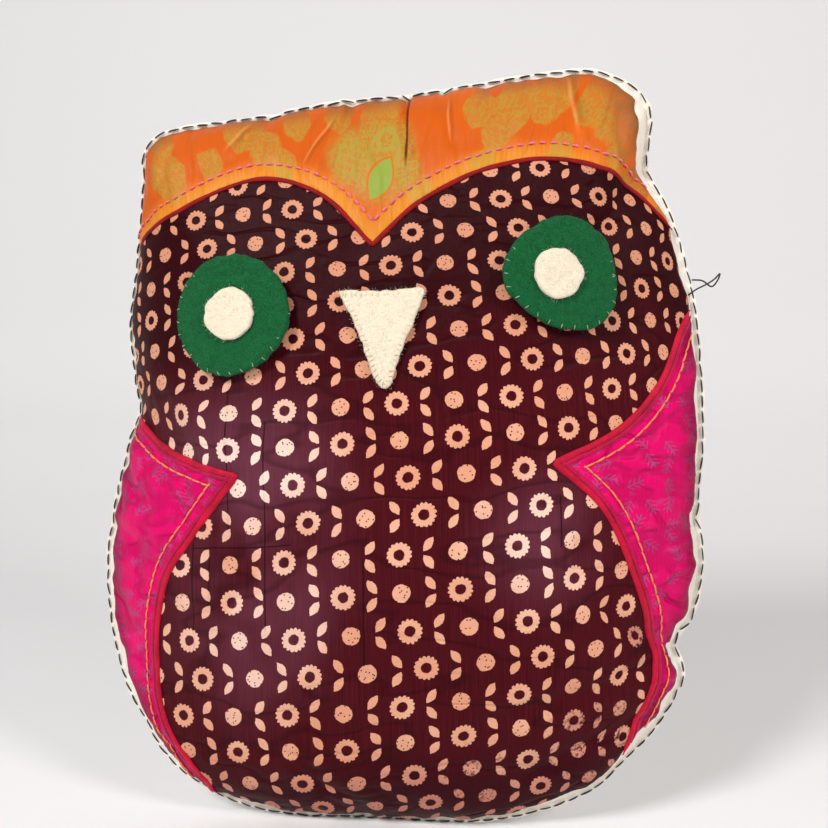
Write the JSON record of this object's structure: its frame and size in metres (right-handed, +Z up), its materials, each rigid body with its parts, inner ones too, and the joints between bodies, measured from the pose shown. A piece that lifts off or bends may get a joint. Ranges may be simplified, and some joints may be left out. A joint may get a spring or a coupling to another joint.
{
  "type": "owl cushion",
  "caption": "Stuffed owl-shaped cushion: printed silk panels piped and hand-stitched on cream cotton, with felt eyes and beak, standing on a flattened foot.",
  "frame": {"origin": "on the floor under the middle of the cushion's box", "axes": "+Z up, +X to the right of someone facing the owl, face towards -Y"},
  "size_m": [0.326, 0.1073, 0.4014],
  "materials": {
    "filling": "loose polyester fibre",
    "cream_cotton": "plain woven cotton, matt",
    "maroon_silk": "slubbed silk with a block print in peach",
    "orange_silk": "soft silk with an olive green print",
    "magenta_silk": "soft silk with a grey-violet print",
    "crimson_piping": "folded silk piping",
    "green_felt": "wool felt, matt and fibrous",
    "cream_felt": "wool felt, matt and fibrous",
    "black_thread": "twisted cotton thread",
    "pink_thread": "twisted cotton thread",
    "orange_thread": "twisted cotton thread",
    "pale_thread": "twisted cotton thread"
  },
  "bodies": {
    "root": {"stuffing": "filling", "front_base_cloth": "cream_cotton", "back_cloth": "cream_cotton", "body_panel": "maroon_silk", "forehead_panel": "orange_silk", "wing_left_panel": "magenta_silk", "wing_right_panel": "magenta_silk", "forehead_piping": "crimson_piping", "wing_left_piping": "crimson_piping", "wing_right_piping": "crimson_piping", "forehead_stitch": "pink_thread", "wing_left_stitch": "orange_thread", "wing_right_stitch": "orange_thread", "edge_stitch": "black_thread", "thread_tail": "black_thread", "eye_left_felt": "green_felt", "eye_left_pupil": "cream_felt", "eye_left_stitch": "pale_thread", "eye_right_felt": "green_felt", "eye_right_pupil": "cream_felt", "eye_right_stitch": "pale_thread", "beak_felt": "cream_felt", "beak_stitch": "pale_thread"}
  },
  "joints": []
}
